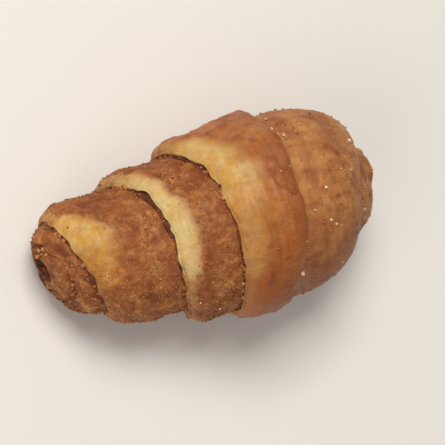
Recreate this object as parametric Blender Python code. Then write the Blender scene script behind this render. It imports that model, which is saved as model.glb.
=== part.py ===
"""A rugelach: a thin wedge of dough, spread with cinnamon filling and rolled up from its wide side to its tip.

Metres, +Z up. The roll lies along X on the plane Z = 0, its slim tail at -X and its plump head at +X.
The origin is under the middle of the roll. A place in the dough is given by its turn, counted from
the core outwards, and by its distance from the tail. A turn starts at +Y and passes over +Z first.
"""

import math

import bpy
import numpy as np

# The wedge of dough. At each of these turns it reaches from its tail edge to its head edge.
EDGE_TURNS = (0.0, 1.25, 2.25, 3.25, 4.0, 4.5, 4.75)
TAIL_EDGE = (0.0, 0.0013, 0.0036, 0.0152, 0.0214, 0.0241, 0.0275)
HEAD_EDGE = (0.0495, 0.0488, 0.0475, 0.0450, 0.0343, 0.0306, 0.0296)
TAIL_LIP = (0.0010, 0.0018, 0.0048, 0.0024, 0.0032, 0.0034, 0.0010)  # how far each edge takes to round off
HEAD_LIP = (0.0014, 0.0018, 0.0026, 0.0044, 0.0058, 0.0050, 0.0010)
LIP_SHARE = 0.45  # the most of the width that one lip takes
TURNS = EDGE_TURNS[-1]
EDGE_WAVE = 0.0005  # the hand-cut edges wander this far

# The roll
CORE_HOLLOW = 0.0020  # radius of the space inside the first turn
CORE_RADIUS = 0.0040  # outer radius where the first turn starts
WRAP_PITCH = 0.00223  # growth of the radius with each turn
LIP_THICKNESS = 0.28  # thickness left at a cut edge, as a part of the dough's
TIP_TURNS = 0.6  # the last stretch, pressed thinner towards the tip
TIP_THICKNESS = 0.5

# The baked shape
WIDTH_FACTOR = 1.0
HEIGHT_FACTOR = 0.92  # the roll slumps in the oven
PRESSED = 0.10  # part of the half height that the flat underside takes away
REST_PLACES = (0.0, 0.0030, 0.0098, 0.0195, 0.0290, 0.0380, 0.0495)
REST_RADII = (0.0060, 0.0070, 0.0092, 0.0115, 0.0128, 0.0125, 0.0103)  # radius that meets the tray
TAIL_PINCH_END = 0.0050
TAIL_PINCH = 0.10
HEAD_PINCH_START = 0.0330
HEAD_PINCH = 0.30
HEAD_SWELL_PLACE = 0.0368
HEAD_SWELL_LENGTH = 0.0090
HEAD_SWELL = 0.125
SWELL = 0.018  # broad unevenness of the radius
SWELL_LENGTH = 0.034
BOW = -0.0014  # sideways bow of the roll's middle
TAIL_SLANT = 0.35  # the tail's near side stays back by this part of the distance from the far side
TAIL_SLANT_REACH = 0.0130
TAIL_SLANT_SOFT = 0.0040

# The filling
FILLING_GAP = 0.00088  # room between two wraps
PINCHED_GAP = 0.0004  # what is left of it at a head edge
PINCHED_STRETCH = 0.0030  # how far before a head edge it starts to close
CLEARANCE = 0.00028  # kept between the filling and the dough
FILLING_OUT = 0.0004  # how far the filling oozes past a tail edge
FILLING_SHORT = 0.0032  # how far it ends before a head edge
FILLING_START = 0.15
FILLING_CORE = 0.0004
FILLING_END = TURNS - 0.15
END_PLAY = 0.25  # turns over which the filling thins out at its two ends
END_THICKNESS = 0.35  # part of its thickness left there

# The mesh
STEPS_PER_TURN = 20
LIP_LINES = (0.0, 0.12, 0.35, 0.7)  # places of the mesh lines across a rounded edge
BROAD_LINES = 10
FILLING_LINES = 12
SHARP_ANGLE = math.radians(40)


def smooth_curve(at, places, values):
    """A curve through the given values, with each slope set by the two neighbours of a value."""
    places = np.asarray(places)
    values = np.asarray(values)
    slopes = np.gradient(values, places)
    at = np.clip(at, places[0], places[-1])
    span = np.clip(np.searchsorted(places, at, side="right") - 1, 0, len(places) - 2)
    width = places[span + 1] - places[span]
    t = (at - places[span]) / width
    return (
        (2 * t**3 - 3 * t**2 + 1) * values[span]
        + (t**3 - 2 * t**2 + t) * width * slopes[span]
        + (3 * t**2 - 2 * t**3) * values[span + 1]
        + (t**3 - t**2) * width * slopes[span + 1]
    )


def edges(turn):
    """The tail and head edges of the wedge at a turn, with a slow wander like that of a hand cut."""
    angle = 2 * math.pi * turn
    wander = EDGE_WAVE * np.clip(turn, 0, 1) * (np.sin(1.7 * angle) + 0.6 * np.sin(3.1 * angle + 2))
    tail = smooth_curve(turn, EDGE_TURNS, TAIL_EDGE) + wander
    head = smooth_curve(turn, EDGE_TURNS, HEAD_EDGE) + 0.5 * wander
    return tail, head


def unevenness(turn, along):
    """Factor on the radius, the same for all wraps on one ray: pinched ends, a plump head, a broad swell."""
    tail = np.clip(1 - along / TAIL_PINCH_END, 0, 1)
    head = np.clip((along - HEAD_PINCH_START) / (HEAD_EDGE[0] - HEAD_PINCH_START), 0, 1)
    angle = 2 * math.pi * turn
    phase = 2 * math.pi * along / SWELL_LENGTH
    swell = SWELL * (0.6 * np.sin(2 * angle + phase) + 0.4 * np.sin(3 * angle - phase + 1))
    plump = HEAD_SWELL * np.exp(-(((along - HEAD_SWELL_PLACE) / HEAD_SWELL_LENGTH) ** 2))
    return (1 - TAIL_PINCH * tail**2 - HEAD_PINCH * head**2 + plump) * (1 + swell)


def outer_radius(turn, along):
    """Radius of the outside of a wrap, away from its edges: a spiral, growing evenly with the turn."""
    return (CORE_RADIUS + WRAP_PITCH * turn) * unevenness(turn, along)


def gap(turn, along):
    """Room under a wrap: full for the filling, and closing up where the head was pinched."""
    before_head = np.clip((edges(turn)[1] - along) / PINCHED_STRETCH, 0, 1)
    return PINCHED_GAP + (FILLING_GAP - PINCHED_GAP) * before_head


def inner_radius(turn, along):
    """Radius of the inside of a wrap: over the wrap before, or in the first turn over the core's hollow."""
    over_wrap = outer_radius(turn - 1, along) + gap(turn, along)
    core = CORE_HOLLOW * unevenness(turn, along)
    over_core = core + (over_wrap - core) * np.clip(turn, 0, 1) ** 2
    return np.where(turn < 1, np.maximum(over_core, core), over_wrap)


def rounding(distance, lip):
    """1 at a cut edge and 0 from one lip's width away, falling like a quarter of an ellipse."""
    inwards = np.clip(distance / lip, 0, 1)
    return 1 - np.sqrt(1 - (1 - inwards) ** 2)


def placed(turn, along, radius):
    """Points of the roll: slumped, pressed flat below ray by ray, bowed, and slanted at the tail."""
    angle = 2 * math.pi * turn
    low = np.maximum(-np.sin(angle), 1 - PRESSED)
    radius = radius * (1 - PRESSED) / low
    rest = smooth_curve(along, REST_PLACES, REST_RADII)
    middle = (along - 0.5 * HEAD_EDGE[0]) / (0.5 * HEAD_EDGE[0])
    y = WIDTH_FACTOR * radius * np.cos(angle)
    near_side = (np.hypot(y, TAIL_SLANT_SOFT) - y) / 2
    x = along + TAIL_SLANT * near_side * np.clip(1 - along / TAIL_SLANT_REACH, 0, 1) ** 2
    y = y + BOW * (1 - middle**2)
    z = HEIGHT_FACTOR * (radius * np.sin(angle) + (1 - PRESSED) * rest)
    return np.stack([x, y, np.maximum(z, 0)], axis=-1)


def add_sheet(name, outside, inside, colour, roughness):
    """A closed solid between two grids of points, each with one row for a turn and one column across."""
    rows, columns = outside.shape[:2]
    loops = np.concatenate([outside, inside[:, ::-1]], axis=1)
    around = 2 * columns
    row, column = np.meshgrid(np.arange(rows - 1), np.arange(around), indexing="ij")
    here = row * around + column
    beside = row * around + (column + 1) % around
    sides = np.stack([here, here + around, beside + around, beside], axis=-1).reshape(-1, 4)
    across = np.arange(columns - 1)
    start = np.stack([across, across + 1, around - 2 - across, around - 1 - across], axis=-1)
    end = start[:, ::-1] + (rows - 1) * around
    mesh = bpy.data.meshes.new(name)
    mesh.from_pydata(loops.reshape(-1, 3).tolist(), [], np.concatenate([sides, start, end]).tolist())
    mesh.shade_smooth()
    mesh.set_sharp_from_angle(angle=SHARP_ANGLE)
    material = bpy.data.materials.new(name)
    material.use_nodes = True
    shader = material.node_tree.nodes["Principled BSDF"]
    shader.inputs["Base Color"].default_value = (*colour, 1)
    shader.inputs["Roughness"].default_value = roughness
    shader.inputs["Metallic"].default_value = 0
    mesh.materials.append(material)
    sheet = bpy.data.objects.new(name, mesh)
    bpy.context.scene.collection.objects.link(sheet)
    return sheet


def add_dough():
    """The wedge of dough: a spiral slab whose outside rounds off towards both cut edges."""
    turn = np.arange(round(TURNS * STEPS_PER_TURN) + 1)[:, None] / STEPS_PER_TURN
    tail, head = edges(turn)
    width = head - tail
    tail_lip = np.minimum(smooth_curve(turn, EDGE_TURNS, TAIL_LIP), LIP_SHARE * width)
    head_lip = np.minimum(smooth_curve(turn, EDGE_TURNS, HEAD_LIP), LIP_SHARE * width)
    lip = np.array(LIP_LINES)
    broad = np.linspace(0, 1, BROAD_LINES)
    along = np.concatenate(
        [
            tail + tail_lip * lip,
            tail + tail_lip + (width - tail_lip - head_lip) * broad,
            head - head_lip * lip[::-1],
        ],
        axis=1,
    )
    cut = np.maximum(rounding(along - tail, tail_lip), rounding(head - along, head_lip))
    thinning = np.clip((turn - TURNS + TIP_TURNS) / TIP_TURNS, 0, 1)
    inside = inner_radius(turn, along)
    thickness = outer_radius(turn, along) - inside
    thickness = thickness * (1 - (1 - LIP_THICKNESS) * cut) * (1 - (1 - TIP_THICKNESS) * thinning)
    return add_sheet(
        "dough",
        placed(turn, along, inside + thickness),
        placed(turn, along, inside),
        colour=(0.445, 0.171, 0.053),
        roughness=0.55,
    )


def add_filling():
    """The cinnamon filling: a spiral sheet between the wraps, which shows under each lip and at the tail."""
    first = math.ceil(FILLING_START * STEPS_PER_TURN)
    last = math.floor(FILLING_END * STEPS_PER_TURN)
    turn = np.arange(first, last + 1)[:, None] / STEPS_PER_TURN
    tail, head = edges(turn)
    ends = np.minimum(turn - turn[0], turn[-1] - turn)
    thick = END_THICKNESS + (1 - END_THICKNESS) * np.clip(ends / END_PLAY, 0, 1)
    out = FILLING_OUT * thick
    along = tail - out + (head - FILLING_SHORT - tail + out) * np.linspace(0, 1, FILLING_LINES)
    outside = inner_radius(turn, along) - CLEARANCE
    over_wrap = outer_radius(turn - 1, along) + CLEARANCE
    over_core = FILLING_CORE + (over_wrap - FILLING_CORE) * np.clip(turn, 0, 1) ** 2
    inside = np.where(turn < 1, np.maximum(over_core, FILLING_CORE), over_wrap)
    inside = outside - (outside - inside) * thick
    return add_sheet(
        "cinnamon_filling",
        placed(turn, along, outside),
        placed(turn, along, inside),
        colour=(0.102, 0.026, 0.008),
        roughness=0.6,
    )


def centre_over_origin(pieces):
    """Moves the meshes so that the middle of their common box is above the origin."""
    points = np.array([vertex.co for piece in pieces for vertex in piece.data.vertices])
    middle = (points.min(axis=0) + points.max(axis=0)) / 2
    for piece in pieces:
        for vertex in piece.data.vertices:
            vertex.co.x -= middle[0]
            vertex.co.y -= middle[1]


for old in list(bpy.data.objects):
    bpy.data.objects.remove(old, do_unlink=True)
centre_over_origin([add_dough(), add_filling()])
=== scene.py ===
"""Looks of one cinnamon rugelach: rolled dough, the filling between its wraps, and the sugar on it.

Metres, +Z up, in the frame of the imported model: the slim tail at -X, the plump head at +X.
"""

import math

import bpy
import numpy as np
from mathutils import Matrix, Vector


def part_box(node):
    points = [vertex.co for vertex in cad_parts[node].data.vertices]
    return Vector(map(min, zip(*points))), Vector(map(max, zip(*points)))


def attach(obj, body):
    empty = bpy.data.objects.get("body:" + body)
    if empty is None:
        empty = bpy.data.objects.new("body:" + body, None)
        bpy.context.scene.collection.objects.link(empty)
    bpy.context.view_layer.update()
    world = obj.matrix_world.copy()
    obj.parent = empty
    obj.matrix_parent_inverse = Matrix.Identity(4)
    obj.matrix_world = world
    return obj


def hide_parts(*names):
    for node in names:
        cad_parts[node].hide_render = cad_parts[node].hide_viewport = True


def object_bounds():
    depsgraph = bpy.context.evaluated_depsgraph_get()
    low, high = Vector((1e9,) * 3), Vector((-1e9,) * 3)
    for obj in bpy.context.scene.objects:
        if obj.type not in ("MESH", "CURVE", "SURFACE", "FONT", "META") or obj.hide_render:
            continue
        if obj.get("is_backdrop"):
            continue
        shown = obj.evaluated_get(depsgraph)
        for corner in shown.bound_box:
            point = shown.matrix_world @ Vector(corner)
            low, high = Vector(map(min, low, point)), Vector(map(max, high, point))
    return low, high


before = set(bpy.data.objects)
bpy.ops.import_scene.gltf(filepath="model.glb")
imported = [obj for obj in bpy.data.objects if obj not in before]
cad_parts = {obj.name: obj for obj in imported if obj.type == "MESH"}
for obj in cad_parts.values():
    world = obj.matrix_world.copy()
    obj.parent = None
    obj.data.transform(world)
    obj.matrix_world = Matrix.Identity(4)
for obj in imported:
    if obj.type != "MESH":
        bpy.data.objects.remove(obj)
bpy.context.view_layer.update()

# The dough. A thin wedge of pastry, rolled up from its wide side to its tip, egg-washed and baked.
# It is one spiral slab: each turn covers part of the one before, and the hand-cut edges show as steps.
# A place in it is a turn, counted from the core, and a distance along the roll from the tail's end.
EDGE_TURNS = (0.0, 1.25, 2.25, 3.25, 4.0, 4.5, 4.75)
TAIL_EDGE = (0.0, 0.0013, 0.0036, 0.0152, 0.0214, 0.0241, 0.0275)
HEAD_EDGE = (0.0495, 0.0488, 0.0475, 0.0450, 0.0343, 0.0306, 0.0296)
TAIL_LIP = (0.0010, 0.0018, 0.0048, 0.0024, 0.0032, 0.0034, 0.0010)  # how far each edge takes to round off
HEAD_LIP = (0.0014, 0.0018, 0.0026, 0.0044, 0.0058, 0.0050, 0.0010)
TURNS = EDGE_TURNS[-1]
LIP_SHARE = 0.45  # the most of the wedge's width that a lip takes, near the tip
EDGE_WAVE = 0.0005  # how far both edges wander slowly from their curves
CORE_HOLLOW = 0.0020  # radius of the space inside the first turn
CORE_RADIUS = 0.0040  # outer radius where the first turn starts
WRAP_PITCH = 0.00223  # growth of the radius with each turn
LIP_THICKNESS = 0.28  # thickness left at a cut edge, as a part of the dough's
TIP_TURNS = 0.6  # the last stretch, pressed thinner towards the tip
TIP_THICKNESS = 0.5
FILLING_GAP = 0.00088  # room between two wraps
PINCHED_GAP = 0.0004  # what is left of it at a head edge
PINCHED_STRETCH = 0.0030  # how far before a head edge it starts to close
WIDTH_FACTOR = 1.0
HEIGHT_FACTOR = 0.92  # the roll slumps in the oven
PRESSED = 0.10  # part of the half height that the flat underside takes away
REST_PLACES = (0.0, 0.0030, 0.0098, 0.0195, 0.0290, 0.0380, 0.0495)
REST_RADII = (0.0060, 0.0070, 0.0092, 0.0115, 0.0128, 0.0125, 0.0103)  # radius that meets the tray
TAIL_PINCH_END = 0.0050
TAIL_PINCH = 0.10
HEAD_PINCH_START = 0.0330
HEAD_PINCH = 0.30
HEAD_SWELL_PLACE = 0.0368
HEAD_SWELL_LENGTH = 0.0090
HEAD_SWELL = 0.125
SWELL = 0.018  # broad unevenness of the radius
SWELL_LENGTH = 0.034
BOW = -0.0014  # sideways bow of the roll's middle
TAIL_SLANT = 0.35  # how far the tail's near side stays back, for each part of its distance out
TAIL_SLANT_REACH = 0.0130
TAIL_SLANT_SOFT = 0.0040


def smooth_curve(at, places, values):
    """A cubic between each two values, with each slope set by the two neighbours of a value."""
    places = np.asarray(places)
    values = np.asarray(values)
    slopes = np.gradient(values, places)
    at = np.clip(at, places[0], places[-1])
    span = np.clip(np.searchsorted(places, at, side="right") - 1, 0, len(places) - 2)
    width = places[span + 1] - places[span]
    t = (at - places[span]) / width
    return (
        (2 * t**3 - 3 * t**2 + 1) * values[span]
        + (t**3 - 2 * t**2 + t) * width * slopes[span]
        + (3 * t**2 - 2 * t**3) * values[span + 1]
        + (t**3 - t**2) * width * slopes[span + 1]
    )


def smooth_step(value, low, high):
    """0 below low, 1 above high, and 3t^2 - 2t^3 between."""
    t = np.clip((value - low) / (high - low), 0, 1)
    return t * t * (3 - 2 * t)


def noise(points, size, seed):
    """Random values from -1 to 1 at the corners of cubes of this size, blended smoothly between."""
    place = np.asarray(points) / size + 0.37 * seed + 100
    cell = np.floor(place).astype(np.int64)
    part = place - cell
    part = part * part * (3 - 2 * part)
    total = np.zeros(place.shape[:-1])
    for corner in np.ndindex(2, 2, 2):
        x, y, z = np.moveaxis(cell + corner, -1, 0)
        mixed = (x * 73856093 ^ y * 19349663 ^ z * 83492791 ^ seed * 2654435761) & 0xFFFFFFFF
        mixed = ((mixed ^ (mixed >> 15)) * 2246822519) & 0xFFFFFFFF
        mixed = ((mixed ^ (mixed >> 13)) * 3266489917) & 0xFFFFFFFF
        weight = np.prod(np.where(np.array(corner) == 1, part, 1 - part), axis=-1)
        total += weight * ((mixed >> 8 & 0xFFFF) / 32767.5 - 1)
    return total


def edges(turn):
    """The tail and head edges of the wedge at a turn: smooth curves with a slow wander added."""
    angle = 2 * math.pi * turn
    wander = EDGE_WAVE * np.clip(turn, 0, 1) * (np.sin(1.7 * angle) + 0.6 * np.sin(3.1 * angle + 2))
    tail = smooth_curve(turn, EDGE_TURNS, TAIL_EDGE) + wander
    head = smooth_curve(turn, EDGE_TURNS, HEAD_EDGE) + 0.5 * wander
    return tail, head


def unevenness(turn, along):
    """Factor on the radius: 1, less a parabola at each end, plus a bell at the head, times two sines."""
    tail = np.clip(1 - along / TAIL_PINCH_END, 0, 1)
    head = np.clip((along - HEAD_PINCH_START) / (HEAD_EDGE[0] - HEAD_PINCH_START), 0, 1)
    angle = 2 * math.pi * turn
    phase = 2 * math.pi * along / SWELL_LENGTH
    swell = SWELL * (0.6 * np.sin(2 * angle + phase) + 0.4 * np.sin(3 * angle - phase + 1))
    plump = HEAD_SWELL * np.exp(-(((along - HEAD_SWELL_PLACE) / HEAD_SWELL_LENGTH) ** 2))
    return (1 - TAIL_PINCH * tail**2 - HEAD_PINCH * head**2 + plump) * (1 + swell)


def outer_radius(turn, along):
    """Radius of a wrap's outside: the core's radius plus the pitch times the turn."""
    return (CORE_RADIUS + WRAP_PITCH * turn) * unevenness(turn, along)


def gap(turn, along):
    """Room under a wrap: the filling's, falling in a straight line over the last stretch to the head."""
    before_head = np.clip((edges(turn)[1] - along) / PINCHED_STRETCH, 0, 1)
    return PINCHED_GAP + (FILLING_GAP - PINCHED_GAP) * before_head


def inner_radius(turn, along):
    """Radius of a wrap's inside: the wrap before plus the gap, or a parabola from the core's hollow."""
    over_wrap = outer_radius(turn - 1, along) + gap(turn, along)
    core = CORE_HOLLOW * unevenness(turn, along)
    over_core = core + (over_wrap - core) * np.clip(turn, 0, 1) ** 2
    return np.where(turn < 1, np.maximum(over_core, core), over_wrap)


def rounding(distance, lip):
    """1 at a cut edge and 0 from one lip's width away, falling like a quarter of an ellipse."""
    inwards = np.clip(distance / lip, 0, 1)
    return 1 - np.sqrt(1 - (1 - inwards) ** 2)


def placed(turn, along, radius):
    """Polar to world: rays cut short at the tray, the tail's near side pushed back, the middle bowed."""
    angle = 2 * math.pi * turn
    low = np.maximum(-np.sin(angle), 1 - PRESSED)
    radius = radius * (1 - PRESSED) / low
    rest = smooth_curve(along, REST_PLACES, REST_RADII)
    middle = (along - 0.5 * HEAD_EDGE[0]) / (0.5 * HEAD_EDGE[0])
    y = WIDTH_FACTOR * radius * np.cos(angle)
    near_side = (np.hypot(y, TAIL_SLANT_SOFT) - y) / 2
    x = along + TAIL_SLANT * near_side * np.clip(1 - along / TAIL_SLANT_REACH, 0, 1) ** 2
    y = y + BOW * (1 - middle**2)
    z = HEIGHT_FACTOR * (radius * np.sin(angle) + (1 - PRESSED) * rest)
    return np.stack([x, y, z], axis=-1)


def turns_by_arc(first, last, step):
    """Turns spaced so that the spiral's arc between two of them is about one step."""
    fine = np.linspace(first, last, 4000)
    arc = np.concatenate([[0], np.cumsum(2 * math.pi * outer_radius(fine[1:], 0.02) * np.diff(fine))])
    return np.interp(np.linspace(0, arc[-1], int(arc[-1] / step) + 1), arc, fine)[:, None]


def grid_normals(points):
    """Cross product of the two grid directions. Columns go round the slab, so they wrap over."""
    down = np.gradient(points, axis=0)
    over = np.roll(points, -1, axis=1) - np.roll(points, 1, axis=1)
    normal = np.cross(down, over)
    return normal / np.maximum(np.linalg.norm(normal, axis=-1, keepdims=True), 1e-12)


def slab_mesh(name, points, attributes):
    """A closed slab from a grid of loops: quads between the loops, and a fan on each end loop."""
    rows, around = points.shape[:2]
    row, column = np.meshgrid(np.arange(rows - 1), np.arange(around), indexing="ij")
    here = row * around + column
    beside = row * around + (column + 1) % around
    sides = np.stack([here, here + around, beside + around, beside], axis=-1).reshape(-1, 4)
    ring = np.arange(around)
    ahead = np.roll(ring, -1)
    centre = np.full(around, rows * around)
    last = (rows - 1) * around
    start = np.stack([centre, ring, ahead], axis=-1)
    end = np.stack([centre + 1, ahead + last, ring + last], axis=-1)
    vertices = np.concatenate([points.reshape(-1, 3), points[[0, -1]].mean(axis=1)])
    mesh = bpy.data.meshes.new(name)
    mesh.from_pydata(vertices.tolist(), [], sides.tolist() + start.tolist() + end.tolist())
    for key, values in attributes.items():
        values = np.concatenate([values.ravel(), values[[0, -1]].mean(axis=1)]).astype(np.float32)
        mesh.attributes.new(key, "FLOAT", "POINT").data.foreach_set("value", values)
    mesh.shade_smooth()
    piece = bpy.data.objects.new(name, mesh)
    bpy.context.scene.collection.objects.link(piece)
    return piece


DOUGH_STEP = 0.0003  # arc between two rows of the mesh
NOSE = 0.00016  # how far a cut edge bulges
NOSE_LINES = np.array([0.12, 0.37, 0.63, 0.88])
STEP_LINES = np.linspace(0, 1, 46) ** 1.5  # across what shows of a wrap on its tail side
COVERED_LINES = np.linspace(0, 1, 8)[1:-1]
SHOULDER_LINES = 1 - np.linspace(1, 0, 30) ** 1.5  # the same on its head side
INSIDE_LINES = np.array([0.0, 0.02, 0.06, 0.14, 0.3, 0.5, 0.7, 0.86, 0.94, 0.98, 1.0])
LIP_DROOP = 0.72  # part of the room below that a tail edge sinks into while it bakes
LIP_DROOP_REACH = 0.0014
SEAM_DROOP = 0.85  # the same at a head edge, which was pinched shut
SEAM_DROOP_REACH = 0.0022
GAPE_TURNS = (3.125, 4.135)  # where a tail edge stands off the filling
GAPE_REACH = 0.022
DROOP_START = (0.8, 1.3)  # turns over which room for it opens below
DROOP_NOISE = ((0.6, 5.5, 14),)
EDGE_NICKS = 0.00022  # how far the knife's small nicks reach
TAIL_NICKS = ((1.0, 1.7, 22), (0.6, 0.8, 23))
HEAD_NICKS = ((1.0, 2.3, 24),)
MM = 0.001


def noises(points, layers):
    """The sum of some noises, each given by its height, its size in millimetres and its seed."""
    return sum(height * noise(points, size * MM, seed) for height, size, seed in layers)


def arc_points(turn):
    """The length of the unrolled spiral, 2 pi (core radius t + pitch t^2 / 2), as points on a line."""
    arc = 2 * math.pi * (CORE_RADIUS * turn + WRAP_PITCH * turn**2 / 2)
    return arc[..., None] * np.array([1.0, 0.0, 0.0])


def nicked_edges(turn):
    """The two edges with small nicks: noises along the unrolled spiral are added to each curve."""
    tail, head = edges(turn)
    unrolled = arc_points(turn)
    tail = tail + EDGE_NICKS * noises(unrolled, TAIL_NICKS)
    head = head + EDGE_NICKS * noises(unrolled, HEAD_NICKS)
    return tail, head


turn = turns_by_arc(0, TURNS, DOUGH_STEP)
tail, head = nicked_edges(turn)
width = head - tail
next_tail, next_head = nicked_edges(np.minimum(turn + 1, TURNS))
tail_lip = np.minimum(smooth_curve(turn, EDGE_TURNS, TAIL_LIP), LIP_SHARE * width)
head_lip = np.minimum(smooth_curve(turn, EDGE_TURNS, HEAD_LIP), LIP_SHARE * width)

along = np.concatenate(
    [
        tail - NOSE * np.sin(math.pi * NOSE_LINES),
        tail + (next_tail - tail) * STEP_LINES,
        next_tail + (next_head - next_tail) * COVERED_LINES,
        next_head + (head - next_head) * SHOULDER_LINES,
        head + NOSE * np.sin(math.pi * NOSE_LINES),
        head - width * INSIDE_LINES,
    ],
    axis=1,
)
nose = len(NOSE_LINES)
outside = along.shape[1] - nose - len(INSIDE_LINES)
from_tail = along - tail
from_head = head - along
cut = np.maximum(rounding(from_tail, tail_lip), rounding(from_head, head_lip))
thinning = np.clip((turn - TURNS + TIP_TURNS) / TIP_TURNS, 0, 1)
inside_radius = inner_radius(turn, along)
thickness = (outer_radius(turn, along) - inside_radius) * (1 - (1 - TIP_THICKNESS) * thinning)
share = 1 - (1 - LIP_THICKNESS) * cut
share[:, :nose] = LIP_THICKNESS * NOSE_LINES
share[:, outside : outside + nose] = LIP_THICKNESS * NOSE_LINES[::-1]
share[:, outside + nose :] = 0
gape = sum(np.exp(-(((turn - place) / GAPE_REACH) ** 2)) for place in GAPE_TURNS)
uneven_droop = LIP_DROOP * (1 + noises(arc_points(turn), DROOP_NOISE)) * (1 - gape)
droop = uneven_droop * np.exp(-np.clip(from_tail, 0, None) / LIP_DROOP_REACH)
droop += SEAM_DROOP * np.exp(-np.clip(from_head, 0, None) / SEAM_DROOP_REACH)
droop *= gap(turn, along) * smooth_step(turn, *DROOP_START)
points = placed(turn, along, inside_radius + thickness * share - droop)
to_frame = np.array(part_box("dough")) - np.array([points.min(axis=(0, 1)), points.max(axis=(0, 1))])
to_frame = to_frame.mean(axis=0) * [1, 1, 0]
points += to_frame

# How each part of the surface baked: pale where a cut edge was spread open, spiced on the steps, washed
# and amber on the last wrap, and darker and redder along the seam. Painted shade darkens it low down on
# the near side, in the crevices, and towards the underside, which the tray also browned.
LAST_WRAP = (TURNS - 1.15, TURNS - 0.85)  # turns over which the last wrap begins
SHOWN = (-0.5 * MM, 1.0 * MM)  # from just under the next wrap's edge to just clear of it
NUB_TURNS = (1.5, 2.0)  # turns over which the tail's end gives way to the first step
CRESCENT_TURNS = (2.225, 3.205, 4.205)  # where each tail edge was spread open and stayed pale
CRESCENT_REACH = (0.125, 0.165, 0.165)
CRESCENT_WIDTH = (0.0059, 0.0019, 0.0042)
CRESCENT_WARMTH = (1.0, 0.10, 0.70)
CRESCENT_BAKED = (0.0, 0.0, 0.06)  # how far each is browned over, and how far more on its lower side
CRESCENT_FADE = (0.70, 0.0, 0.55)
CRESCENT_TONES = 0.35  # turns over which a crescent's tones reach to each side
CRESCENT_LOWER = (-0.05, 0.09)  # turns past its middle over which its lower side begins
UPPER_WARMTH = 0.65  # share of the warm tone on its upper side
BEYOND = (0.8, 1.3)  # reaches past its middle over which it gives way to crust
BEYOND_FADE = 0.75  # how far a tail edge is browned over there
OPEN_EDGE = 1.6 * MM  # width from which a pale band counts as spread open
RAGGED_NOISE = ((0.28, 3.5, 5), (0.20, 1.2, 6))
EDGE_CREAM = 0.0006  # the thin pale line along the rest of a tail edge
EDGE_CREAM_NOISE = ((0.6, 2.0, 15),)
WHOLLY_PALE = 0.45  # share of a pale band's width before it starts to fade
LAST_WHOLLY_PALE = 0.05  # so much less of it on the last wrap
LAST_SPREAD = 0.25  # so much wider a fade on the last wrap
PALE_FADE = 0.6 * MM
THIN_PALE = 0.42  # how pale the thin line is
INSIDE_PALE = 0.5
CREVICE = (0.1 * MM, 0.9 * MM)
STEP_SPICE_LOST = 0.8  # on the last wrap, which was washed and not spiced
SHOULDER_SPICE = 0.40
SHOULDER_SPICE_LOST = 0.2
AMBER_LOST = 0.5  # towards the seam
AMBER_PLACES = (3 * MM, 9 * MM)
SEAM_DARKENED = (0.5 * MM, 4.5 * MM)
# painted shade low down on the near side: its reach across and along the roll, and its strength
LOW_SIDE_ACROSS = (2.0 * MM, 11.0 * MM)
LOW_SIDE_ALONG = (19 * MM, 33 * MM)
LOW_SIDE_SHADE = 0.95
SEAM_AND_SHADE_LEVEL = 0.65
SEAM_AND_SHADE_NOISE = ((0.4, 3.0, 25),)
UNDER_HEIGHTS = (0.6 * MM, 6.0 * MM)  # over which the darker underside, browned by the tray and partly painted shade, gives way to the sides
STREAK_STRETCH = 9  # length over width of the stretch marks in the skin
STREAK_NOISE = ((0.7, 0.5, 26), (0.5, 1.1, 27))
BUBBLE_NOISE = ((1.0, 1.15, 28),)
BUBBLE_LEVEL = 0.30
BUBBLE_CLUSTERS = ((1.0, 6.0, 29),)
BUBBLE_CLUSTER_LEVELS = (-0.5, 0.3)

outer = np.zeros(along.shape, bool)
outer[:, : outside + nose] = True
last_wrap = smooth_step(turn, *LAST_WRAP) + 0 * along
on_step = smooth_step(next_tail - along, *SHOWN)
on_shoulder = smooth_step(along - next_head, *SHOWN)
shows = np.where(outer, np.maximum(np.maximum(on_step, on_shoulder), last_wrap), 0)
nub = 1 - smooth_step(turn, *NUB_TURNS) + 0 * along
cream_width = 0 * turn
warmth = 0 * turn
browned = 0 * turn
for place, reach, widest, warm, baked, fade in zip(
    CRESCENT_TURNS, CRESCENT_REACH, CRESCENT_WIDTH, CRESCENT_WARMTH, CRESCENT_BAKED, CRESCENT_FADE
):
    nearby = np.exp(-(((turn - place) / CRESCENT_TONES) ** 2))
    cream_width += widest * np.clip(1 - ((turn - place) / reach) ** 2, 0, 1)
    lower = smooth_step(turn - place, *CRESCENT_LOWER)
    warmth += warm * nearby * (UPPER_WARMTH + (1 - UPPER_WARMTH) * lower)
    beyond = smooth_step(turn - place, BEYOND[0] * reach, BEYOND[1] * reach)
    browned += nearby * np.maximum(baked + fade * lower, BEYOND_FADE * beyond)
open_edge = smooth_step(cream_width, 0, OPEN_EDGE)
ragged = cream_width * (1 + noises(points, RAGGED_NOISE))
ragged = ragged + EDGE_CREAM * (1 + noises(points, EDGE_CREAM_NOISE))
wholly_pale = (WHOLLY_PALE - LAST_WHOLLY_PALE * last_wrap) * ragged
faded = (1 + LAST_SPREAD * last_wrap) * ragged + PALE_FADE
cream = 1 - smooth_step(from_tail, wholly_pale, faded)
cream = cream * (THIN_PALE + (1 - THIN_PALE) * open_edge) * (1 - nub) * (1 - browned)
cream = np.where(outer, cream, INSIDE_PALE)
# Painted shade: a thin darker band in the crevice where each tail edge meets the wrap below.
crevice = np.where(outer, 1 - smooth_step(np.abs(along - next_tail), *CREVICE), 1)
crevice = crevice * (1 - last_wrap)
step_spice = 1 - STEP_SPICE_LOST * last_wrap
shoulder_spice = SHOULDER_SPICE - SHOULDER_SPICE_LOST * last_wrap
spice = np.where(along < next_tail, step_spice, shoulder_spice) * (1 - cream)
amber = last_wrap * (1 - AMBER_LOST * smooth_step(from_tail, *AMBER_PLACES))
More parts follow.
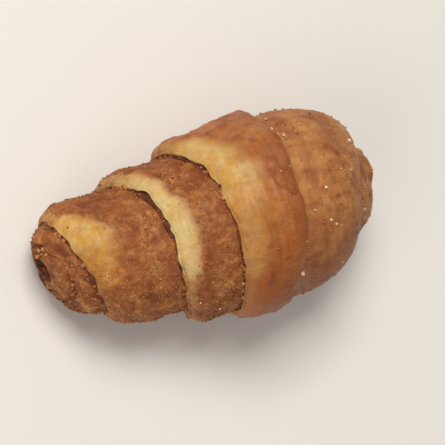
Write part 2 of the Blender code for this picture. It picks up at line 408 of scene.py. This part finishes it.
# A darker, redder band along the seam, and painted shade low down on the near side from the middle to the
# head.
seam_and_low_shade = last_wrap * (1 - smooth_step(from_head, *SEAM_DARKENED))
low_side_shade = smooth_step(-points[..., 1], *LOW_SIDE_ACROSS) * smooth_step(along, *LOW_SIDE_ALONG)
seam_and_low_shade = np.maximum(seam_and_low_shade, LOW_SIDE_SHADE * low_side_shade)
seam_and_low_shade = seam_and_low_shade * (SEAM_AND_SHADE_LEVEL + noises(points, SEAM_AND_SHADE_NOISE))
under = 1 - smooth_step(points[..., 2], *UNDER_HEIGHTS)
unrolled = arc_points(turn) / STREAK_STRETCH + along[..., None] * np.array([0.0, 1.0, 0.0])
streak = noises(unrolled, STREAK_NOISE)
bubble = np.clip(noises(points, BUBBLE_NOISE) - BUBBLE_LEVEL, 0, 1)
bubble = bubble * smooth_step(noises(points, BUBBLE_CLUSTERS), *BUBBLE_CLUSTER_LEVELS)

# The relief, with its heights in millimetres: each step puffs up, its lip swells, the tail's end is
# lumpy, and the skin is blistered, grainy and finely creased.
LIP_BEAD_PLACE = 1.5 * MM
LIP_BEAD_WIDTH = 1.4 * MM
LIP_BEAD_HEIGHT = 0.22
LIP_BEAD_LEVEL = 0.7
LIP_BEAD_NOISE = ((0.9, 4.0, 1),)
PUFF_NOISE = ((0.30, 7.0, 2), (0.16, 3.0, 3))
LUMP_NOISE = ((0.36, 2.6, 16), (0.22, 1.2, 17))
BLISTER_HEIGHT = 0.20
BLISTER_NOISE = ((1.0, 1.6, 4),)
BLISTER_LEVEL = 0.2
BLISTER_SHARE = 0.6  # of that height, and as much again on the last wrap
LAYER_HEIGHT = 0.018
LAYER_PITCH = 0.85 * MM
LAYER_WANDER = ((1.2, 4.0, 18),)
CRUST_NOISE = ((0.6, 1.1, 7), (0.3, 0.55, 8), (0.25, 2.3, 19))
SPICED_GRAIN = 0.24
PALE_GRAIN = 0.05
SKIN_NOISE = ((0.022, 0.9, 9),)
STREAK_HEIGHT = 0.016
LAST_STREAK_HEIGHT = 0.022  # so much more on the last wrap
BUBBLE_HEIGHT = 0.38
UNDER_SMOOTHED = 0.8  # part of the relief that the tray takes away

lip_bead = np.exp(-(((from_tail - LIP_BEAD_PLACE) / LIP_BEAD_WIDTH) ** 2))
lip_bead = lip_bead * (LIP_BEAD_LEVEL + noises(points, LIP_BEAD_NOISE))
puff = noises(points, PUFF_NOISE)
lumps = nub * noises(points, LUMP_NOISE)
blisters = BLISTER_HEIGHT * np.clip(noises(points, BLISTER_NOISE) - BLISTER_LEVEL, 0, 1)
blisters = blisters * (BLISTER_SHARE + BLISTER_SHARE * last_wrap)
layer = 2 * math.pi * (from_tail / LAYER_PITCH + noises(points, LAYER_WANDER))
layers = LAYER_HEIGHT * cream * np.sin(layer)
crust = noises(points, CRUST_NOISE)
grain = spice * SPICED_GRAIN * crust + PALE_GRAIN * cream * crust
streaks = (STREAK_HEIGHT + LAST_STREAK_HEIGHT * last_wrap) * streak
skin = noises(points, SKIN_NOISE) + streaks + BUBBLE_HEIGHT * bubble
relief = puff + LIP_BEAD_HEIGHT * lip_bead + blisters + lumps + layers + grain + skin
points += grid_normals(points) * (MM * shows * relief * (1 - UNDER_SMOOTHED * under))[..., None]

# Below, the wedge's tip is pressed flat on the tray, and the wrap before it rests on the tip.
PRESSED_TIP = 0.30 * MM  # thickness left to the tip there
OVER_TIP = 1.2  # height of the wrap over it, in those thicknesses
COVERED_RISE = (-0.8 * MM, -0.1 * MM)  # before the tip's edge, where that wrap starts to rise
PAST_TIP = (TURNS - 1, TURNS - 0.97)
INSIDE_TIP = (TURNS - 1.1, TURNS - 1)

covered = smooth_step(np.minimum(along - next_tail, next_head - along), *COVERED_RISE)
covered = covered * (1 - smooth_step(turn, *PAST_TIP))
rise = np.zeros(along.shape[1])
rise[:nose] = 1 - NOSE_LINES
rise[outside : outside + nose] = 1 - NOSE_LINES[::-1]
rise[outside + nose :] = 1
tip_level = PRESSED_TIP * rise * smooth_step(turn, *INSIDE_TIP)
lowest = np.maximum(tip_level, OVER_TIP * PRESSED_TIP * covered * outer)
points[..., 2] = np.maximum(points[..., 2], lowest)

dough = slab_mesh(
    "rolled_dough",
    points,
    {
        "cream": cream,
        "warm": warmth + 0 * along,
        "spice": spice,
        "crevice": crevice,
        "under": under,
        "amber": amber,
        "crust": crust,
        "nub": nub,
        "seam_and_low_shade": seam_and_low_shade,
        "streak": streak,
        "bubble": bubble,
        "shoulder": on_shoulder * outer * (1 - last_wrap),
    },
)
dough_grid = points
dough_shows = shows
dough_spice = spice.ravel()
dough_crevice = crevice.ravel()
dough_shoulder = (on_shoulder * outer).ravel()


def node(tree, kind, **inputs):
    """A shader node with its settings and unlinked inputs given by name."""
    made = tree.nodes.new(kind)
    for key, value in inputs.items():
        if hasattr(made, key):
            setattr(made, key, value)
        else:
            made.inputs[key.replace("_", " ")].default_value = value
    return made


FINER_GRAIN = 3.1  # times as fine as the coarse one
FLECK_LEVEL = 0.66
FLECK_SHIFT = 0.24  # how far a full amount lowers that level
FLECK_SHARPNESS = 9.0


def grain_group():
    """Cinnamon speckle: a noise sharpened to flecks, as a mask, and a finer one added for the bump."""
    group = bpy.data.node_groups.new("baked_grain", "ShaderNodeTree")
    for key in ("Size", "Amount"):
        group.interface.new_socket(key, in_out="INPUT", socket_type="NodeSocketFloat")
    for key in ("Flecks", "Height"):
        group.interface.new_socket(key, in_out="OUTPUT", socket_type="NodeSocketFloat")
    taken = group.nodes.new("NodeGroupInput")
    given = group.nodes.new("NodeGroupOutput")
    place = group.nodes.new("ShaderNodeTexCoord")
    coarse = node(group, "ShaderNodeTexNoise", Detail=3.0, Roughness=0.65)
    fine = node(group, "ShaderNodeTexNoise", Detail=2.0, Roughness=0.6)
    link = group.links.new
    link(place.outputs["Object"], coarse.inputs["Vector"])
    link(place.outputs["Object"], fine.inputs["Vector"])
    link(taken.outputs["Size"], coarse.inputs["Scale"])
    link(together(group, "MULTIPLY", taken.outputs["Size"], FINER_GRAIN), fine.inputs["Scale"])
    shift = together(group, "MULTIPLY", taken.outputs["Amount"], FLECK_SHIFT)
    level = together(group, "SUBTRACT", FLECK_LEVEL, shift)
    above = together(group, "SUBTRACT", coarse.outputs["Fac"], level)
    flecks = together(group, "MULTIPLY", above, FLECK_SHARPNESS)
    flecks.node.use_clamp = True
    link(flecks, given.inputs["Flecks"])
    link(together(group, "ADD", coarse.outputs["Fac"], fine.outputs["Fac"]), given.inputs["Height"])
    return group


def mixed(tree, below, above, mask):
    """Colour `above` laid over `below` where the mask is 1. Each is a socket or a fixed colour."""
    mix = node(tree, "ShaderNodeMix", data_type="RGBA")
    for key, value in (("Factor", mask), ("A", below), ("B", above)):
        if isinstance(value, bpy.types.NodeSocket):
            tree.links.new(value, mix.inputs[key])
        else:
            mix.inputs[key].default_value = value
    return mix.outputs["Result"]


def ranged(tree, value, low, high, to_low=0.0, to_high=1.0):
    """A value carried linearly from one range to another, and clamped there."""
    span = node(tree, "ShaderNodeMapRange")
    span.inputs["From Min"].default_value = low
    span.inputs["From Max"].default_value = high
    span.inputs["To Min"].default_value = to_low
    span.inputs["To Max"].default_value = to_high
    tree.links.new(value, span.inputs["Value"])
    return span.outputs["Result"]


def value_of(tree, key):
    """The value of one of the mesh's own attributes."""
    return node(tree, "ShaderNodeAttribute", attribute_name=key).outputs["Fac"]


def together(tree, operation, first, second):
    """Two values joined by a Math operation; each is a socket or a number."""
    joined = node(tree, "ShaderNodeMath", operation=operation)
    for socket, value in zip(joined.inputs, (first, second)):
        if isinstance(value, bpy.types.NodeSocket):
            tree.links.new(value, socket)
        else:
            socket.default_value = value
    return joined.outputs[0]


def patches(tree, scale, detail=3.0, roughness=0.55):
    """A noise on the object's own coordinates."""
    place = node(tree, "ShaderNodeTexCoord")
    cloud = node(tree, "ShaderNodeTexNoise", Scale=scale, Detail=detail, Roughness=roughness)
    tree.links.new(place.outputs["Object"], cloud.inputs["Vector"])
    return cloud.outputs["Fac"]


BAKED_GRAIN = grain_group()
BROAD_PATCHES = 210.0  # scale of each noise in the colours
TAN_PATCHES = 430.0
YOLK_PATCHES = 520.0
FRECKLES = 640.0
FINE_PATCHES = 720.0
STEP_GRAIN = 1500.0
CREAM = (0.62, 0.462, 0.200, 1)
YOLK = (0.56, 0.290, 0.036, 1)
AMBER = (0.395, 0.108, 0.010, 1)
TAN = (0.560, 0.262, 0.082, 1)
BROWN = (0.480, 0.168, 0.034, 1)
RUSSET = (0.250, 0.056, 0.012, 1)
# dark toasted crust on the tail's end, and also the colour of the painted shade in the crevices and
# underneath
TOASTED_AND_SHADE = (0.160, 0.042, 0.012, 1)
CINNAMON = (0.130, 0.034, 0.010, 1)
WASHED_ROUGHNESS = 0.52
SPICED_ROUGHNESS = 0.66
WASHED_COAT = 0.20
SPICED_COAT = 0.04
COAT_ROUGHNESS = 0.31
SHINE = 0.30


def times(tree, first, second):
    """The product of two values; each is a socket or a number."""
    return together(tree, "MULTIPLY", first, second)


def of_mesh(tree, key, low, high, to_low=0.0, to_high=1.0):
    """One of the mesh's own attributes, carried linearly from one range to another."""
    return ranged(tree, value_of(tree, key), low, high, to_low, to_high)


def dough_material():
    """Cream where it was cut, amber where it was washed, brown and mottled where spice was rubbed in."""
    material = bpy.data.materials.new("baked_dough")
    material.use_nodes = True
    tree = material.node_tree
    shader = tree.nodes["Principled BSDF"]
    spice = value_of(tree, "spice")
    broad = ranged(tree, patches(tree, BROAD_PATCHES, 4.0), 0.40, 0.64)
    fine = ranged(tree, patches(tree, FINE_PATCHES, 3.0), 0.46, 0.62)

    crust = mixed(tree, BROWN, AMBER, value_of(tree, "amber"))
    tan_spots = ranged(tree, patches(tree, TAN_PATCHES, 4.0, 0.65), 0.48, 0.58, 0.0, 0.90)
    tan_spots = times(tree, tan_spots, of_mesh(tree, "amber", 0.0, 1.0, 1.0, 0.25))
    tan_spots = together(tree, "MAXIMUM", tan_spots, of_mesh(tree, "shoulder", 0.0, 1.0, 0.0, 0.75))
    crust = mixed(tree, crust, TAN, tan_spots)
    crust = mixed(tree, crust, TAN, of_mesh(tree, "streak", 0.1, 0.8, 0.0, 0.40))
    crust = mixed(tree, crust, RUSSET, of_mesh(tree, "streak", -0.1, -0.8, 0.0, 0.45))
    crust = mixed(tree, crust, RUSSET, of_mesh(tree, "bubble", 0.02, 0.25, 0.0, 0.60))
    crust = mixed(tree, crust, RUSSET, times(tree, broad, 0.50))
    pitted = together(tree, "MAXIMUM", times(tree, fine, 0.66), of_mesh(tree, "crust", 0.05, -0.55))
    pitted = times(tree, pitted, ranged(tree, spice, 0.0, 0.8, 0.2, 0.95))
    crust = mixed(tree, crust, RUSSET, pitted)

    mottle = ranged(tree, patches(tree, YOLK_PATCHES, 4.0), 0.40, 0.70, -0.15, 0.45)
    warm = together(tree, "ADD", value_of(tree, "warm"), mottle)
    pale = mixed(tree, CREAM, YOLK, ranged(tree, warm, 0.0, 1.0))
    pale = mixed(tree, pale, AMBER, times(tree, fine, 0.30))
    freckled = ranged(tree, patches(tree, FRECKLES, 4.0, 0.65), 0.52, 0.68, 0.0, 0.55)
    pale = mixed(tree, pale, RUSSET, times(tree, freckled, of_mesh(tree, "warm", 0.2, 1.0)))

    colour = mixed(tree, crust, pale, value_of(tree, "cream"))
    nub = value_of(tree, "nub")
    colour = mixed(tree, colour, TAN, times(tree, nub, of_mesh(tree, "crust", 0.0, 0.5, 0.0, 0.75)))
    colour = mixed(tree, colour, TOASTED_AND_SHADE, times(tree, nub, of_mesh(tree, "crust", -0.15, -0.5, 0.0, 0.7)))
    grain = tree.nodes.new("ShaderNodeGroup")
    grain.node_tree = BAKED_GRAIN
    grain.inputs["Size"].default_value = STEP_GRAIN
    tree.links.new(spice, grain.inputs["Amount"])
    flecks = times(tree, grain.outputs["Flecks"], ranged(tree, spice, 0.05, 0.8, 0.05, 0.42))
    colour = mixed(tree, colour, CINNAMON, flecks)
    # A darker, redder band along the seam, and painted shade low down on the near side.
    colour = mixed(tree, colour, RUSSET, times(tree, value_of(tree, "seam_and_low_shade"), 0.68))
    # Painted shade in the crevices.
    colour = mixed(tree, colour, TOASTED_AND_SHADE, times(tree, value_of(tree, "crevice"), 0.4))
    # Darker towards the underside: browned by the tray, and painted shade.
    colour = mixed(tree, colour, TOASTED_AND_SHADE, times(tree, value_of(tree, "under"), 0.55))
    roughness = ranged(tree, spice, 0.0, 1.0, WASHED_ROUGHNESS, SPICED_ROUGHNESS)
    coat = ranged(tree, spice, 0.0, 1.0, WASHED_COAT, SPICED_COAT)
    tree.links.new(colour, shader.inputs["Base Color"])
    tree.links.new(roughness, shader.inputs["Roughness"])
    tree.links.new(coat, shader.inputs["Coat Weight"])
    shader.inputs["Coat Roughness"].default_value = COAT_ROUGHNESS
    shader.inputs["Specular IOR Level"].default_value = SHINE
    shader.inputs["Subsurface Weight"].default_value = 0.12
    shader.inputs["Subsurface Radius"].default_value = (1.0, 0.5, 0.25)
    shader.inputs["Subsurface Scale"].default_value = 0.0012
    bump = node(tree, "ShaderNodeBump", Strength=0.7, Distance=0.00032)
    height = times(tree, grain.outputs["Height"], ranged(tree, spice, 0.0, 1.0, 0.60, 1.0))
    tree.links.new(height, bump.inputs["Height"])
    tree.links.new(bump.outputs["Normal"], shader.inputs["Normal"])
    return material


dough.data.materials.append(dough_material())
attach(dough, "root")
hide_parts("dough")

# The filling. Ground cinnamon and sugar, spread on the dough before it was rolled, so that it lies
# between each two wraps as a spiral sheet. Baked dark, it oozes a little past every cut edge.
FILLING_STEP = 0.0004
FILLING_START = 0.15
FILLING_END = TURNS - 0.15
FILLING_CORE = 0.0004  # radius where it starts in the roll's hollow
END_PLAY = 0.25  # turns over which it thins out at each end
END_THICKNESS = 0.35
OOZE = 0.00038  # how far it comes out past a tail edge
END_OOZE = 0.55  # share of that at each end
OOZE_WOBBLE = 0.8
WOBBLE_SIZE = 1.3 * MM
WOBBLE_STRIDE = 10 * MM  # room in that noise from one turn to the next
OOZE_ROUNDING = 1.6  # how far in its edge is rounded, in oozes
EDGE_THINNED = 0.85
SINKS = 0.75  # part of the lip's droop that it follows
FILLING_SHORT = 0.0032  # how far it ends before the head edge, which was pinched shut
FILLING_LUMPS = ((0.24, 1.1, 12), (0.18, 0.5, 13))
FILLING_SUNK = 0.06  # how far the lumps are set in, in millimetres
FILLING_FLOOR = 0.05 * MM
OOZE_LINES = np.linspace(0, 1, 12)
SHEET_LINES = np.linspace(0, 1, 10)[1:-1]
UNDER_LINES = np.linspace(1, 0, 16)
OVERLAP = 0.00004  # into the dough on each side, so that no air shows

turn = turns_by_arc(FILLING_START, FILLING_END, FILLING_STEP)
tail, head = edges(turn)
ends = smooth_step(np.minimum(turn - turn[0], turn[-1] - turn), 0, END_PLAY)
edge_points = np.concatenate([WOBBLE_STRIDE * turn, tail, head], axis=1)
wobble = noise(edge_points, WOBBLE_SIZE, 11)[:, None]
out = OOZE * (END_OOZE + (1 - END_OOZE) * ends) * (1 + OOZE_WOBBLE * wobble)
end = head - FILLING_SHORT
along = np.concatenate(
    [
        tail - out + 3 * out * OOZE_LINES,
        tail + 2 * out + (end - tail - 4 * out) * SHEET_LINES,
        end + out - 3 * out * OOZE_LINES[::-1],
        tail - out + (end - tail + 2 * out) * UNDER_LINES,
    ],
    axis=1,
)
top = along.shape[1] - len(UNDER_LINES)
outside = inner_radius(turn, along) + OVERLAP
over_wrap = outer_radius(turn - 1, along) - OVERLAP
over_core = FILLING_CORE + (over_wrap - FILLING_CORE) * np.clip(turn, 0, 1) ** 2
inside = np.where(turn < 1, np.maximum(over_core, FILLING_CORE), over_wrap)
thick = (outside - inside) * (END_THICKNESS + (1 - END_THICKNESS) * ends)
rounded = OOZE_ROUNDING * out
fall = np.maximum(rounding(along - tail + out, rounded), rounding(end - along + out, rounded))
sink = SINKS * LIP_DROOP * thick * np.exp(-np.clip(along - tail, 0, None) / LIP_DROOP_REACH)
radius = inside + (thick - sink) * (1 - EDGE_THINNED * fall)
radius[:, top:] = inside[:, top:]
points = placed(turn, along, radius) + to_frame
bare = np.maximum(1 - smooth_step(along - tail, 0, out), 1 - smooth_step(end - along, 0, out))
bare[:, top:] = 0
lumps = noises(points, FILLING_LUMPS) - FILLING_SUNK
points += grid_normals(points) * (MM * bare * lumps)[..., None]
points[..., 2] = np.maximum(points[..., 2], FILLING_FLOOR)

filling = slab_mesh("cinnamon_spiral", points, {"spice": np.ones(along.shape)})

SYRUP = (0.085, 0.021, 0.007, 1)
SYRUP_PATCHES = 1100.0
SHINE_PATCHES = 700.0
FILLING_GRAIN = 2200.0


def filling_material():
    """Dark syrupy sugar with lighter russet grains of cinnamon through it."""
    material = bpy.data.materials.new("cinnamon_filling")
    material.use_nodes = True
    tree = material.node_tree
    shader = tree.nodes["Principled BSDF"]
    grains = ranged(tree, patches(tree, SYRUP_PATCHES, 4.0), 0.45, 0.60, 0.0, 0.75)
    colour = mixed(tree, SYRUP, RUSSET, grains)
    grain = tree.nodes.new("ShaderNodeGroup")
    grain.node_tree = BAKED_GRAIN
    grain.inputs["Size"].default_value = FILLING_GRAIN
    grain.inputs["Amount"].default_value = 1.0
    colour = mixed(tree, colour, CINNAMON, times(tree, grain.outputs["Flecks"], 0.6))
    roughness = ranged(tree, patches(tree, SHINE_PATCHES), 0.4, 0.6, 0.38, 0.75)
    tree.links.new(colour, shader.inputs["Base Color"])
    tree.links.new(roughness, shader.inputs["Roughness"])
    shader.inputs["Specular IOR Level"].default_value = SHINE
    bump = node(tree, "ShaderNodeBump", Strength=0.7, Distance=0.0003)
    tree.links.new(grain.outputs["Height"], bump.inputs["Height"])
    tree.links.new(bump.outputs["Normal"], shader.inputs["Normal"])
    return material


filling.data.materials.append(filling_material())
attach(filling, "root")
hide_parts("cinnamon_filling")

# The cinnamon sugar. Loose grains of cinnamon and sugar that stuck to the washed dough: dark flecks all
# over the spiced steps, a few clear sugar crystals on the head, and soft crumbs caught under the lips.
# Each kind is one mesh of small many-sided grains, half sunk in what they lie on.
GOLDEN = (1 + math.sqrt(5)) / 2
BALL = np.array(
    [(a, b * GOLDEN, 0) for a in (-1, 1) for b in (-1, 1)]
    + [(0, a, b * GOLDEN) for a in (-1, 1) for b in (-1, 1)]
    + [(b * GOLDEN, 0, a) for a in (-1, 1) for b in (-1, 1)]
) / math.sqrt(1 + GOLDEN**2)
CUBE = np.array([(a, b, c) for a in (-1, 1) for b in (-1, 1) for c in (-1, 1)]) / math.sqrt(3)
CUBE_FACES = np.array(
    [(0, 1, 3), (0, 3, 2), (4, 6, 7), (4, 7, 5), (0, 4, 5), (0, 5, 1)]
    + [(2, 3, 7), (2, 7, 6), (0, 2, 6), (0, 6, 4), (1, 5, 7), (1, 7, 3)]
)
EDGE_LIMIT = 1.1  # just over an edge of the ball, whose corners are 1 from its middle
GRAIN_STRETCH = (0.65, 1.25)
GRAIN_ROUGHNESS = 0.09  # how far each corner is moved at random
GRAIN_PATCHES = 1500.0
LOWEST_GRAIN = 1.5 * MM  # none lies lower, where the tray rubs them off
GROUND_CINNAMON = ((0.19, 0.052, 0.015, 1), (0.46, 0.180, 0.050, 1))
BAKED_SUGAR = ((0.62, 0.38, 0.17, 1), (0.85, 0.66, 0.42, 1))
CRUMB = ((0.27, 0.080, 0.022, 1), (0.52, 0.235, 0.070, 1))


def ball_faces():
    """The icosahedron's 20 faces: every three corners that are one edge apart, turned outwards."""
    near = np.linalg.norm(BALL[:, None] - BALL[None], axis=-1) < EDGE_LIMIT
    threes = [(a, b, c) for a in range(len(BALL)) for b in range(a) for c in range(b)]
    faces = np.array([(a, b, c) for a, b, c in threes if near[a, b] and near[b, c] and near[a, c]])
    corners = BALL[faces]
    normals = np.cross(corners[:, 1] - corners[:, 0], corners[:, 2] - corners[:, 0])
    outwards = np.einsum("ij,ij->i", normals, corners.mean(axis=1))
    faces[outwards < 0] = faces[outwards < 0][:, ::-1]
    return faces


def random_turns(count, random):
    """Rotation matrices from random quaternions of length 1."""
    quaternions = random.normal(size=(4, count))
    w, x, y, z = quaternions / np.linalg.norm(quaternions, axis=0)
    return np.stack(
        [
            np.stack([1 - 2 * (y * y + z * z), 2 * (x * y - z * w), 2 * (x * z + y * w)], axis=-1),
            np.stack([2 * (x * y + z * w), 1 - 2 * (x * x + z * z), 2 * (y * z - x * w)], axis=-1),
            np.stack([2 * (x * z - y * w), 2 * (y * z + x * w), 1 - 2 * (x * x + y * y)], axis=-1),
        ],
        axis=1,
    )


def scattered(name, corners, faces, weights, count, sizes, sunk, seed):
    """Grains at points of the dough drawn by weight: a random size, stretch and turn for each."""
    random = np.random.default_rng(seed)
    chosen = random.choice(len(dough_points), count, replace=False, p=weights / weights.sum())
    size = sizes[0] + (sizes[1] - sizes[0]) * random.random((count, 1, 1)) ** 2
    stretch = random.uniform(*GRAIN_STRETCH, size=(count, 1, 3))
    moved = random.normal(scale=GRAIN_ROUGHNESS, size=(count, len(corners), 3))
    shape = (corners[None] + moved) * stretch
    shape = np.einsum("nij,nkj->nki", random_turns(count, random), shape) * size / 2
    centre = dough_points[chosen] + dough_normals[chosen] * size[:, 0] * (0.5 - sunk)
    vertices = (shape + centre[:, None]).reshape(-1, 3)
    vertices[:, 2] = np.maximum(vertices[:, 2], 0)
    mesh = bpy.data.meshes.new(name)
    offsets = np.arange(count)[:, None, None] * len(corners)
    mesh.from_pydata(vertices.tolist(), [], (faces[None] + offsets).reshape(-1, 3).tolist())
    piece = bpy.data.objects.new(name, mesh)
    bpy.context.scene.collection.objects.link(piece)
    return piece


def grain_material(name, colours, roughness):
    """One colour for each grain, picked between two by where it lies."""
    material = bpy.data.materials.new(name)
    material.use_nodes = True
    tree = material.node_tree
    shader = tree.nodes["Principled BSDF"]
    colour = mixed(tree, *colours, ranged(tree, patches(tree, GRAIN_PATCHES, 0.0), 0.35, 0.65))
    tree.links.new(colour, shader.inputs["Base Color"])
    shader.inputs["Roughness"].default_value = roughness
    return material


dough_points = dough_grid.reshape(-1, 3)
dough_normals = grid_normals(dough_grid).reshape(-1, 3)
down = np.gradient(dough_grid, axis=0)
over = np.gradient(dough_grid, axis=1)
shown = (dough_shows * np.linalg.norm(np.cross(down, over), axis=-1)).ravel()
shown[dough_points[:, 2] < LOWEST_GRAIN] = 0
spiced = shown * np.clip(dough_spice - 0.1, 0, 1) ** 1.5
clumps = smooth_step(noise(dough_points, 2.2 * MM, 21), -0.3, 0.6)

cinnamon = scattered(
    "cinnamon_grains",
    BALL,
    ball_faces(),
    weights=spiced * (0.15 + clumps),
    count=3000,
    sizes=(0.12 * MM, 0.36 * MM),
    sunk=0.35,
    seed=31,
)
cinnamon.data.materials.append(grain_material("ground_cinnamon", GROUND_CINNAMON, roughness=0.65))
sugar = scattered(
    "sugar_crystals",
    CUBE,
    CUBE_FACES,
    weights=shown * (0.12 + dough_shoulder),
    count=80,
    sizes=(0.18 * MM, 0.70 * MM),
    sunk=0.3,
    seed=32,
)
sugar.data.materials.append(grain_material("baked_sugar", BAKED_SUGAR, roughness=0.25))
crumbs = scattered(
    "pastry_crumbs",
    BALL,
    ball_faces(),
    weights=shown * (dough_crevice + 0.03) ** 2,
    count=380,
    sizes=(0.22 * MM, 0.80 * MM),
    sunk=0.35,
    seed=33,
)
crumbs.data.materials.append(grain_material("crumb", CRUMB, roughness=0.7))
for grains in (cinnamon, sugar, crumbs):
    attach(grains, "root")

# The setting. A plain pale floor, soft studio light from above, and the camera at the photograph's
# angle: the photograph looks straight down on a roll whose tail tips up, so here the camera leans
# towards the tail of a roll that lies flat. The roll runs from the lower left to the upper right.
LEAN = math.radians(25)
ROLLED = math.radians(18.5)
CAMERA_DISTANCE = 0.42
CAMERA_LENS = 250
FLOOR_SIZE = 3.0
FLOOR_DROP = 0.00005  # keeps the floor off the flat underside
FLOOR_COLOUR = (0.78, 0.76, 0.73, 1)
FLOOR_ROUGHNESS = 0.75
WORLD_COLOUR = (1.0, 0.96, 0.91, 1)
WORLD_STRENGTH = 0.30

floor_mesh = bpy.data.meshes.new("floor")
half = FLOOR_SIZE / 2
corners = [(x, y, -FLOOR_DROP) for x, y in ((-half, -half), (half, -half), (half, half), (-half, half))]
floor_mesh.from_pydata(corners, [], [(0, 1, 2, 3)])
floor = bpy.data.objects.new("floor", floor_mesh)
bpy.context.scene.collection.objects.link(floor)
floor_material = bpy.data.materials.new("pale_floor")
floor_material.use_nodes = True
floor_shader = floor_material.node_tree.nodes["Principled BSDF"]
floor_shader.inputs["Base Color"].default_value = FLOOR_COLOUR
floor_shader.inputs["Roughness"].default_value = FLOOR_ROUGHNESS
floor_mesh.materials.append(floor_material)
floor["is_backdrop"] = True


def area_light(name, place, aim, size, power, colour):
    """A square area light at a place, turned towards a point."""
    data = bpy.data.lights.new(name, "AREA")
    data.size = size
    data.energy = power
    data.color = colour
    light = bpy.data.objects.new(name, data)
    light.location = place
    light.rotation_euler = (Vector(aim) - Vector(place)).to_track_quat("-Z", "Y").to_euler()
    bpy.context.scene.collection.objects.link(light)


low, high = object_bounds()
centre = (low + high) / 2
area_light("key_light", (-0.06, 0.26, 0.50), centre, size=0.28, power=2.6, colour=(1.0, 0.95, 0.88))
area_light("fill_light", (-0.55, -0.16, 0.28), centre, size=0.5, power=1.5, colour=(1.0, 0.96, 0.92))
world = bpy.data.worlds.new("studio")
bpy.context.scene.world = world
world.use_nodes = True
background = world.node_tree.nodes["Background"]
background.inputs["Color"].default_value = WORLD_COLOUR
background.inputs["Strength"].default_value = WORLD_STRENGTH
bpy.context.scene.view_settings.view_transform = "Standard"

back = Vector((-math.sin(LEAN), 0, math.cos(LEAN)))
along_roll = (Vector((1, 0, 0)) - back * back.x).normalized()
across_roll = back.cross(along_roll)
right = along_roll * math.cos(ROLLED) - across_roll * math.sin(ROLLED)
up = back.cross(right)
camera_data = bpy.data.cameras.new("camera")
camera_data.lens = CAMERA_LENS
camera = bpy.data.objects.new("camera", camera_data)
place = centre + back * CAMERA_DISTANCE
camera.matrix_world = Matrix.Translation(place) @ Matrix((right, up, back)).transposed().to_4x4()
bpy.context.scene.collection.objects.link(camera)
bpy.context.scene.camera = camera
